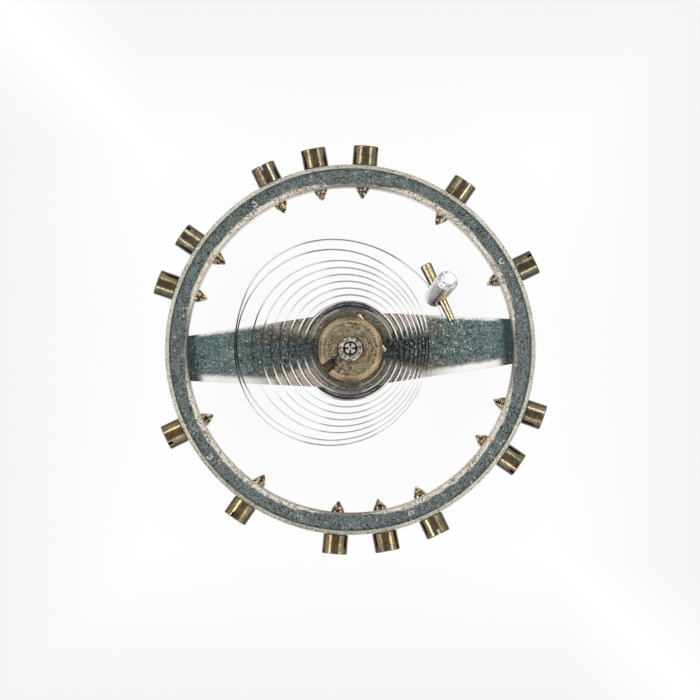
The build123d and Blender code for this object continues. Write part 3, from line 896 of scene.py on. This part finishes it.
# painted shade in a dark ring at the arbor's shoulder, and on the pivot above it painted highlights on the
# diagonals with painted shade beside the axes
shoulderLow, shoulderHigh = [staff["upperArborTop"] - below for below in steel["shoulder"]]
atShoulder = spread(height, shoulderLow, shoulderHigh)
neckShade = times(spread(sizeOf(minus(radius, steel["neckR"])), *steel["neckLine"]), atShoulder)
inNeck = times(atShoulder, spread(radius, steel["neckR"], steel["neckR"] - steel["insideNeck"]))
diagonalHighlights = times(inNeck, spread(fourWay, 0.35, 0.90))
axisShade = times(inNeck, spread(fourWay, 0.70, 0.25))
staffColour = paint(mixColour(turnedMarks, steel["calmDark"], steel["calmLight"]),
                    (topShare(tree, 0.25, 0.7),
                     mixColour(spread(scratched, 0.08, 0.74), steel["dark"], steel["light"])),
                    (diagonalHighlights, steel["quarter"]),
                    (larger(neckShade, times(axisShade, 0.9)), steel["shadeBlack"]))
finishMetal(staffColour, grade(turnedMarks, 0.14, 0.26), turnedMarks, 0.0004,
            larger(minus(0.85, times(diagonalHighlights, 0.5)), larger(neckShade, axisShade)))
finishPiece(balanceStaff, staffSteel, "balance_staff", "balance", 24)
print("staff made")


# Double roller: impulse table above, safety roller with its passing crescent below
roller = {
    "boreR": 0.229,
    "safetyR": 0.58,
    "safetyLow": 0.35,
    "safetyHigh": 0.55,
    "neckR": 0.38,
    "tableR": 1.22,
    "tableLow": 0.80,
    "tableHigh": 1.02,
    "tableBevel": 0.05,
    "crescentR": 0.17,
    "crescentDepth": 0.13,
    "sides": 128,
    "easing": 0.01,
    "overrun": 0.1,
}
jewel = {
    "r": 0.15,
    "flatDepth": 0.10,
    "circleR": 0.84,
    "drop": 0.36,
    "fit": 0.004,
    "easing": 0.012,
    "sides": 64,
}
tableR = roller["tableR"]
tableLow = roller["tableLow"]
tableHigh = roller["tableHigh"]
tableBevel = roller["tableBevel"]
neckMiddle = (roller["neckR"], (roller["safetyHigh"] + tableLow) / 2)
doubleRoller = turnPiece("doubleRoller", [
    neckMiddle,
    (roller["neckR"], roller["safetyHigh"]),
    (roller["safetyR"], roller["safetyHigh"]),
    (roller["safetyR"], roller["safetyLow"]),
    (roller["boreR"], roller["safetyLow"]),
    (roller["boreR"], tableHigh),
    (tableR - tableBevel, tableHigh),
    (tableR, tableHigh - tableBevel),
    (tableR, tableLow + tableBevel),
    (tableR - tableBevel, tableLow),
    (roller["neckR"], tableLow),
    neckMiddle,
], roller["sides"], roller["easing"], hollow=True)


def makeJewelBar(name, fit, low, high):
    # round bar along +Z with one flat, facing -X
    bar = makeBar(name, jewel["r"] + fit, low, high, jewel["sides"])
    pickOnly(bar)
    bpy.ops.object.mode_set(mode="EDIT")
    bpy.ops.mesh.select_all(action="SELECT")
    bpy.ops.mesh.bisect(plane_co=(jewel["flatDepth"] - jewel["r"] - fit, 0, 0), plane_no=(-1, 0, 0),
                        use_fill=True, clear_outer=True)
    bpy.ops.mesh.select_all(action="SELECT")
    bpy.ops.transform.translate(value=(-jewel["circleR"], 0, 0))
    bpy.ops.object.mode_set(mode="OBJECT")
    return bar


crescent = makeBar("crescentCut", roller["crescentR"], roller["safetyLow"] - roller["overrun"],
                   roller["safetyHigh"] + roller["overrun"])
crescent.location.x = roller["crescentDepth"] - roller["safetyR"] - roller["crescentR"]
combine(doubleRoller, crescent)
combine(doubleRoller, makeJewelBar("jewelHole", jewel["fit"], tableLow - roller["overrun"],
                                   tableHigh + roller["overrun"]))
impulseJewel = makeJewelBar("impulseJewel", 0, tableLow - jewel["drop"], tableHigh)
easeEdges(impulseJewel, jewel["easing"], 50, 3)

rollerLook = {
    "dark": (0.035, 0.032, 0.034),
    "light": (0.88, 0.83, 0.76),
    "bluing": (0.060, 0.060, 0.125),
    "darkR": (1.165, 1.185),
    "linesR": (1.135, 1.045),     # fine polished lines left by turning
    "line": (0.026, 0.008),
}
rollerSteel, tree, place = newMaterial("rollerSteel")
middle, broad = useGroup(grainGroup, place, FineScale=14.0, BroadScale=1.3)[1:]
radius, turnedMarks = useGroup(turnedGroup, place, PerMillimetre=11.0)[:2]
bright = times(spread(turnedMarks, 0.35, 1.0), spread(middle, 0.1, 0.8, 0.35, 1.0),
               spread(radius, *rollerLook["darkR"], 1.0, 0.25))
lines = [spread(sizeOf(minus(radius, lineR)), *rollerLook["line"]) for lineR in rollerLook["linesR"]]
polished = times(larger(*lines), spread(middle, 0.0, 0.7, 0.35, 0.95))
rollerColour = paint(mixColour(times(broad, 0.7), rollerLook["dark"], rollerLook["bluing"]),
                     (bright, rollerLook["light"]), (polished, rollerLook["light"]))
finishMetal(rollerColour, grade(middle, 0.16, 0.34), turnedMarks, 0.002, grade(polished, 1.0, 0.5))
finishPiece(doubleRoller, rollerSteel, "double_roller", "balance")

ruby = {"colour": (0.62, 0.02, 0.045), "cloudy": (0.80, 0.10, 0.12)}
rubyGlass, tree, place = newMaterial("rubyGlass")
fine, middle = useGroup(grainGroup, place, FineScale=14.0, BroadScale=2.5)[:2]
shader = addNode(tree, "ShaderNodeBsdfPrincipled", Metallic=0.0, Roughness=grade(fine, 0.02, 0.10), IOR=1.76,
                 **{"Base Color": mixColour(times(middle, 0.5), ruby["colour"], ruby["cloudy"]),
                    "Transmission Weight": 0.7})
addNode(tree, "ShaderNodeOutputMaterial", shader.outputs[0])
finishPiece(impulseJewel, rubyGlass, "impulse_jewel", "balance")
print("roller and jewel made")


# Collet: split brass ring with a cross hole for the blade and its pin
collet = {
    "boreR": 0.294,
    "outerR": 0.79,
    "bevel": 0.11,
    "bevelDrop": 0.06,
    "foot": 0.015,
    "slitInner": 0.12,
    "slitOuter": 0.27,
    "slitAngle": 215.4,
    "slitReach": 2,               # length and height of the block that cuts it
    "slitOverrun": 0.5,           # above the collet
    "holeR": 0.11,
    "holeOffset": 0.62,
    "holeDrop": 0.18,
    "holeAngle": 33.5,
    "pinR": 0.068,
    "pinProud": 0.06,
    "pinThickEnd": [(0.6, 0), (0.9, 0.008), (1, 0.03)],         # share of the radius, and distance
    "pinThinEnd": [(0.96, 0.03), (0.86, 0.008), (0.6, 0)],      # from the end
    "pinSides": 32,
    "fit": 0.004,
    "easing": 0.012,
    "sides": 144,
}
outerR = collet["outerR"]
colletTop = colletHigh.z
colletFoot = colletLow.z
wallMiddle = (outerR, (colletFoot + colletTop) / 2)
colletRing = turnPiece("hairspringCollet", [
    wallMiddle,
    (outerR, colletTop - collet["bevelDrop"]),
    (outerR - collet["bevel"], colletTop),
    (collet["boreR"], colletTop),
    (collet["boreR"], colletFoot),
    (outerR - collet["foot"], colletFoot),
    (outerR, colletFoot + collet["foot"]),
    wallMiddle,
], collet["sides"], collet["easing"], hollow=True)
slitReach = collet["slitReach"]
slit = makeBlock("colletSlit", (slitReach / 2, 0, colletTop + collet["slitOverrun"] - slitReach / 2),
                 (slitReach, collet["slitInner"], slitReach))
widenEnds(slit, slitReach / 2, 1 + slitReach * (collet["slitOuter"] / collet["slitInner"] - 1) / outerR)
slit.rotation_euler.z = math.radians(collet["slitAngle"])
combine(colletRing, slit)
holeSide = flatWay(collet["holeAngle"])
holeWay = flatWay(collet["holeAngle"] - 90)
springZ = colletTop - collet["holeDrop"]
holeCentre = holeSide * collet["holeOffset"] + Vector((0, 0, springZ))
colletHole = makeBar("colletHole", collet["holeR"], -outerR, outerR)
standAt(colletHole, holeCentre, holeWay, holeSide)
combine(colletRing, colletHole)

pinReach = math.sqrt(outerR ** 2 - collet["holeOffset"] ** 2) + collet["pinProud"]
pinR = collet["pinR"]
pinProfile = [(pinR * share, -pinReach + fromEnd) for share, fromEnd in collet["pinThickEnd"]]
pinProfile += [(pinR * share, pinReach - fromEnd) for share, fromEnd in collet["pinThinEnd"]]
colletPin = turnPiece("colletPin", pinProfile, collet["pinSides"])
pinCentre = holeCentre + holeSide * (collet["holeR"] - collet["fit"] - pinR)
standAt(colletPin, pinCentre, holeWay, holeSide)

brass = {
    "dark": (0.056, 0.037, 0.023),
    "light": (0.68, 0.525, 0.345),
    "green": (0.34, 0.35, 0.21),
    "orange": (0.60, 0.37, 0.17),
    "bevel": (0.56, 0.42, 0.24),
    "bevelDark": (0.12, 0.085, 0.05),
    "pit": (0.045, 0.032, 0.020),
    "rust": (0.20, 0.085, 0.035),
    "rustSide": (0.15, 0.13),     # to each side of the slit's middle
    "rustFrom": (0.25, 0.32),     # along the slit
}
colletBrass, tree, place = newMaterial("colletBrass")
fine, middle, broad = useGroup(grainGroup, place, FineScale=30.0, BroadScale=1.6)
turnedMarks = useGroup(turnedGroup, place, PerMillimetre=17.0)["Marks"]
fourWay = useGroup(cornersGroup, place)["FourWay"]
pits = useGroup(specksGroup, place, PerMillimetre=7.0, Size=0.17, Share=0.12)["Specks"]
scratched = blendOf((middle, 0.20), (fine, 0.42), (turnedMarks, 0.38))
colletFace = paint(mixColour(spread(scratched, 0.26, 0.86), brass["dark"], brass["light"]),
                   (spread(broad, 0.35, 1.0, 0.0, 0.42), brass["green"]),
                   (spread(broad, 0.45, 0.0, 0.0, 0.50), brass["orange"]),
                   (times(pits, 0.7), brass["pit"]))
# the bevel: scratched, with painted shade beside the axes and painted highlights on the diagonals
dullAndShade = calculate("ADD", times(scratched, 0.58), spread(fourWay, 0.2, 0.9, 0.55, 0.0), clamp=True)
alongSlit, acrossSlit = splitAxes(placeInMillimetres(tree, -collet["slitAngle"]))[:2]
inSlit = times(spread(sizeOf(acrossSlit), *brass["rustSide"]), spread(alongSlit, *brass["rustFrom"]))
colletColour = paint(mixColour(dullAndShade, brass["bevel"], brass["bevelDark"]),
                     (topShare(tree), colletFace),
                     (times(inSlit, topShare(tree, 0.6, 0.3)), brass["rust"]))
finishMetal(colletColour, grade(middle, 0.24, 0.40), fine, 0.003)
finishPiece(colletRing, colletBrass, "collet", "balance")

pinLook = {"dark": (0.46, 0.34, 0.19), "light": (0.97, 0.82, 0.58), "edge": (0.070, 0.048, 0.026)}
pinBrass, tree, place = newMaterial("pinBrass")
fine, middle, broad = useGroup(grainGroup, place, FineScale=20.0, BroadScale=1.8)
topColour = mixColour(blendOf((fine, 0.5), (broad, 0.5)), pinLook["dark"], pinLook["light"])
# faces that look sideways take the dark edge colour as painted shade
finishMetal(mixColour(topShare(tree, 0.80, 0.55), topColour, pinLook["edge"]), grade(middle, 0.14, 0.24),
            fine, 0.0015)
finishPiece(colletPin, pinBrass, "collet_pin", "balance", 24)
print("collet and pin made")


# Hairspring: one flat blade along its route, from the collet outwards and clockwise
spring = {
    "thickness": 0.031,
    "height": 0.16,
    "farLift": 0.13,              # how far the last turn but one lies out on its far side
    "crestLift": 0.28,
    "crestAngle": 96.2,
    "crestHeading": -3,
    "approachHeading": -50.5,
    "elbow": 0.12,
    "tail": 0.28,
    "colletTail": 0.03,
    "endHandle": 0.05,            # length of the curve's handle at its two ends
    "leastBend": 0.02,            # in radians, so that the handles stay finite
    "lastHeadingAt": 37.9,        # in quarter turns: a little before the coil's end
    "holeGap": 0.008,
    "smoothness": 26,
    "bendsBetween": (0.02, 0.985),   # shares of its length: it turns up to the first, rests from the second
}
stud = {
    "r": 0.262,
    "standoff": 0.075,
    "angle": 29.5,
    "leanAngle": 47.9,
    "tilt": 27,
    "aboveHole": 0.83,
    "belowHole": 0.34,
    "topEasing": 0.03,
    "easing": 0.02,
    "gripStart": 0.25,
    "footR": 0.235,
    "footBevel": 0.08,
    "holeR": 0.175,
    "holeHeading": -68,
    "pinThickR": 0.145,
    "pinThinR": 0.08,
    "pinLength": 1.55,
    "pinBelly": 0.003,
    "pinThickEnd": [(0.7, 0), (0.92, 0.008), (1, 0.035)],       # share of the radius, and distance
    "pinThinEnd": [(1, 0.03), (0.9, 0.008), (0.65, 0)],         # from the end
    "pinSides": 40,
    "fit": 0.004,
    "sides": 72,
}
outerTurnR = coils["innerR"] + coils["pitch"] * coils["turns"]
leanWay = flatWay(stud["leanAngle"])
slope = math.tan(math.radians(stud["tilt"]))
studHoleWay = flatWay(stud["holeHeading"])
studHoleWay = (studHoleWay - Vector((0, 0, slope * studHoleWay.dot(leanWay)))).normalized()
studWay = (leanWay * slope + Vector((0, 0, 1))).normalized()
bladeSide = flatWay(stud["holeHeading"] + 90)
approachWay = flatWay(spring["approachHeading"])
elbowWay = (approachWay + studHoleWay).normalized()
toHole = studHoleWay * (stud["r"] + stud["fit"])
studHoleZ = springZ + elbowWay.z * spring["elbow"] + toHole.z
studHoleCentre = flatWay(stud["angle"]) * (outerTurnR + stud["standoff"]) + Vector((0, 0, studHoleZ))


def bladePlay(holeR):
    # how far from the hole's middle the blade's middle stands
    return math.sqrt(holeR ** 2 - (spring["height"] / 2) ** 2) - spring["holeGap"] - spring["thickness"] / 2


tiltedEdge = spring["height"] * abs(studHoleWay.z) / 2
bladeAtStud = studHoleCentre - bladeSide * (bladePlay(stud["holeR"]) - tiltedEdge)
elbowEnd = bladeAtStud - toHole
elbowStart = elbowEnd - elbowWay * spring["elbow"]
tailEnd = bladeAtStud + studHoleWay * (stud["r"] + spring["tail"])
crest = flatWay(spring["crestAngle"]) * (outerTurnR + spring["crestLift"]) + Vector((0, 0, springZ))
bladeInHole = holeCentre - holeSide * bladePlay(collet["holeR"])
bladeChord = math.sqrt(outerR ** 2 - (collet["holeOffset"] - bladePlay(collet["holeR"])) ** 2)


def coilPoint(turn):
    # point of the coil after a number of turns
    coilR = coils["innerR"] + coils["pitch"] * turn
    fromFar = turn - (coils["turns"] - 1)
    if abs(fromFar) < 0.5:
        coilR += spring["farLift"] * math.cos(math.pi * fromFar) ** 2
    drift = flatWay(coils["driftAngle"]) * coils["drift"] * (turn / coils["turns"]) ** 2
    return drift + flatWay(coils["startAngle"] - 360 * turn) * coilR + Vector((0, 0, springZ))


def coilWay(turn):
    step = 0.001
    return (coilPoint(turn + step) - coilPoint(turn - step)).normalized()


stations = [(bladeInHole - holeWay * bladeChord, holeWay),
            (bladeInHole + holeWay * (bladeChord + spring["colletTail"]), holeWay)]
stations += [(coilPoint(quarter / 4), coilWay(min(quarter, spring["lastHeadingAt"]) / 4))
             for quarter in range(int(coils["turns"] * 4) + 1)]
stations += [(crest, flatWay(spring["crestHeading"])), (elbowStart, approachWay),
             (elbowEnd, studHoleWay), (tailEnd, studHoleWay)]
bladeCurve = bpy.data.curves.new("hairspring", "CURVE")
bladeCurve.dimensions = "3D"
bladeCurve.twist_mode = "Z_UP"
bladeCurve.extrude = spring["height"] / 2
bladeCurve.resolution_u = spring["smoothness"]
blade = bladeCurve.splines.new("BEZIER")
blade.bezier_points.add(len(stations) - 1)
for index, (point, way) in enumerate(stations):
    reaches = []
    for other in (index - 1, index + 1):
        if not 0 <= other < len(stations):
            reaches.append(spring["endHandle"])
            continue
        otherPoint, otherWay = stations[other]
        bend = max(way.angle(otherWay), spring["leastBend"])
        reaches.append((otherPoint - point).length * 2 / 3 * math.tan(bend / 4) / math.sin(bend / 2))
    knot = blade.bezier_points[index]
    knot.co = point
    knot.handle_left_type = knot.handle_right_type = "FREE"
    knot.handle_left = point - way * reaches[0]
    knot.handle_right = point + way * reaches[1]
hairspring = bpy.data.objects.new("hairspring", bladeCurve)
bpy.context.scene.collection.objects.link(hairspring)
pickOnly(hairspring)
bpy.ops.object.convert(target="MESH")
hairspring = bpy.context.object
hairspring.name = "balanceHairspring"

# how far along the blade each point lies, from 0 in the collet to 1 at the tail; its points come in pairs
bladePoints = [vertex.co.copy() for vertex in hairspring.data.vertices]
bladeMiddle = [(low + high) / 2 for low, high in zip(bladePoints[::2], bladePoints[1::2])]
travelled = [0.0]
for before, here in zip(bladeMiddle, bladeMiddle[1:]):
    travelled.append(travelled[-1] + (here - before).length)
alongBlade = hairspring.data.attributes.new("alongBlade", "FLOAT", "POINT")
for index in range(len(bladePoints)):
    alongBlade.data[index].value = travelled[index // 2] / travelled[-1]
print("hairspring length", round(travelled[-1], 2))
applyModifier(hairspring, "SOLIDIFY", "bladeThickness", thickness=spring["thickness"], offset=0,
              use_even_offset=True)

springLook = {
    "dark": (0.045, 0.045, 0.048),
    "light": (0.30, 0.30, 0.31),
    "bright": (0.95, 0.94, 0.92),
    "pale": (0.66, 0.65, 0.64),
    "clearY": (0.80, 1.15),       # clear of the arms
    "outerR": (2.2, 2.5),
    "innerR": (0.92, 1.22),
}
springAlloy, tree, place = newMaterial("springAlloy")
fine, middle, broad = useGroup(grainGroup, place, FineScale=16.0, BroadScale=0.8)
radius, fourWay = useGroup(cornersGroup, place)[1:]
# painted highlight: the edge that looks up is bright on the diagonals and dark over the arms; clear of them
# it only dims
clear = spread(sizeOf(splitAxes(place)[1]), *springLook["clearY"])
outer = spread(radius, *springLook["outerR"])
glint = larger(spread(minus(fourWay, times(outer, 0.22)), 0.30, 0.72), times(clear, grade(outer, 0.62, 0.45)))
glint = times(glint, spread(middle, 0.0, 0.6, 0.92, 1.0), grade(topShare(tree, 0.5, 0.9), 0.35, 1.0),
              spread(radius, *springLook["innerR"], 0.42, 1.0))
springColour = paint(mixColour(broad, springLook["dark"], springLook["light"]),
                     (glint, mixColour(clear, springLook["bright"], springLook["pale"])))
finishMetal(springColour, grade(middle, 0.18, 0.34), fine, 0.0005, minus(1.0, glint))
finishPiece(hairspring, springAlloy, "hairspring", None, 35)
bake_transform(hairspring, "stud_side", "balance", start=studHoleCentre * mm, end=(0, 0, springZ * mm))
# the blade winds evenly by its length, not by where its points lie
held = hairspring.data.attributes["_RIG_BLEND"]
along = hairspring.data.attributes["alongBlade"]
turnsTo, restsFrom = spring["bendsBetween"]
for index in range(len(hairspring.data.vertices)):
    share = (restsFrom - along.data[index].value) / (restsFrom - turnsTo)
    share = min(max(share, 0.0), 1.0)
    held.data[index].value = share * share * (3 - 2 * share)
print("hairspring made")


# Stud: leaning round post that holds the spring's outer end, with its brass pin
studPost = turnPiece("hairspringStud", easeCorners([
    (stud["footR"] - stud["footBevel"], -stud["belowHole"]),
    (stud["footR"], -stud["belowHole"] + stud["footBevel"]),
    (stud["r"], stud["gripStart"]),
    (stud["r"], stud["aboveHole"] - stud["topEasing"]),
    (stud["r"] - stud["topEasing"], stud["aboveHole"]),
], stud["easing"]), stud["sides"])
standAt(studPost, studHoleCentre, studWay, studHoleWay)
studHole = makeBar("studHole", stud["holeR"], -2 * stud["r"], 2 * stud["r"])
standAt(studHole, studHoleCentre, studHoleWay, studWay)
combine(studPost, studHole)

halfPin = stud["pinLength"] / 2
thickR = stud["pinThickR"]
thinR = stud["pinThinR"]
pinMiddleR = (thickR + thinR) / 2
studPinProfile = [(thickR * share, -halfPin + fromEnd) for share, fromEnd in stud["pinThickEnd"]]
studPinProfile += [(pinMiddleR + stud["pinBelly"], 0)]
studPinProfile += [(thinR * share, halfPin - fromEnd) for share, fromEnd in stud["pinThinEnd"]]
studPin = turnPiece("studPin", studPinProfile, stud["pinSides"])
pinInHoleR = pinMiddleR + (thickR - thinR) / stud["pinLength"] * stud["r"]
studPinCentre = studHoleCentre + bladeSide * (stud["holeR"] - stud["fit"] - pinInHoleR)
standAt(studPin, studPinCentre, studHoleWay, bladeSide)
finishPiece(studPin, pinBrass, "stud_pin", "stud_side", 24)

studLook = {
    "dark": (0.78, 0.77, 0.81),
    "light": (0.99, 0.98, 0.99),
    "spot": (0.16, 0.18, 0.17),
    "shade": (0.20, 0.165, 0.13),
    "streakHighlight": (0.66, 0.50, 0.28),
    "underShade": (0.34, 0.34, 0.35),
    "streakAngle": -38,
    "cleanOffset": (0.07, 0.06, 0),
    "cleanR": (0.12, 0.19),
    "endRingR": (0.215, 0.235),
}
studSteel, tree, place = newMaterial("studSteel")
fine, middle, broad = useGroup(grainGroup, place, FineScale=16.0, BroadScale=2.4)
normal = addNode(tree, "ShaderNodeTexCoord").outputs["Normal"]
onEnd = vectorMath("DOT_PRODUCT", normal, studWay)
# painted brown shade, and a golden painted highlight streak down its lower side
sideAway = vectorMath("DOT_PRODUCT", normal, flatWay(studLook["streakAngle"]))
shadow = times(spread(sideAway, -0.05, 0.12), spread(sideAway, 0.50, 0.36), spread(onEnd, 0.75, 0.55),
               spread(fine, 0.0, 0.8, 0.55, 0.95))
streakHighlight = larger(spread(sizeOf(minus(sideAway, 0.64)), 0.27, 0.14),
                spread(sizeOf(plus(sideAway, 0.14)), 0.10, 0.03))
# grey speckle around a clean patch of the end face, and a grey ring at its edge
endCentre = studHoleCentre + studWay * stud["aboveHole"]
fromClean = vectorMath("DISTANCE", place, endCentre + Vector(studLook["cleanOffset"]))
fromEnd = vectorMath("DISTANCE", place, endCentre)
speckle = spread(blendOf((fine, 0.45), (middle, 0.55)), 0.30, 0.60)
spots = times(speckle, spread(fromClean, *studLook["cleanR"]))
spots = larger(spots, times(spread(fromEnd, *studLook["endRingR"]), 0.55))
# the faces that look down take painted shade
studColour = paint(mixColour(broad, studLook["dark"], studLook["light"]),
                   (times(streakHighlight, 0.8), studLook["streakHighlight"]),
                   (shadow, studLook["shade"]),
                   (spread(splitAxes(normal)[2], 0.12, -0.10), studLook["underShade"]),
                   (times(spots, spread(onEnd, 0.55, 0.75), 0.8), studLook["spot"]))
finishMetal(studColour, grade(middle, 0.26, 0.38), broad, 0.0015, grade(spread(onEnd, 0.90, 0.97), 0.8, 0.45))
finishPiece(studPost, studSteel, "stud", "stud_side")
print("stud made")
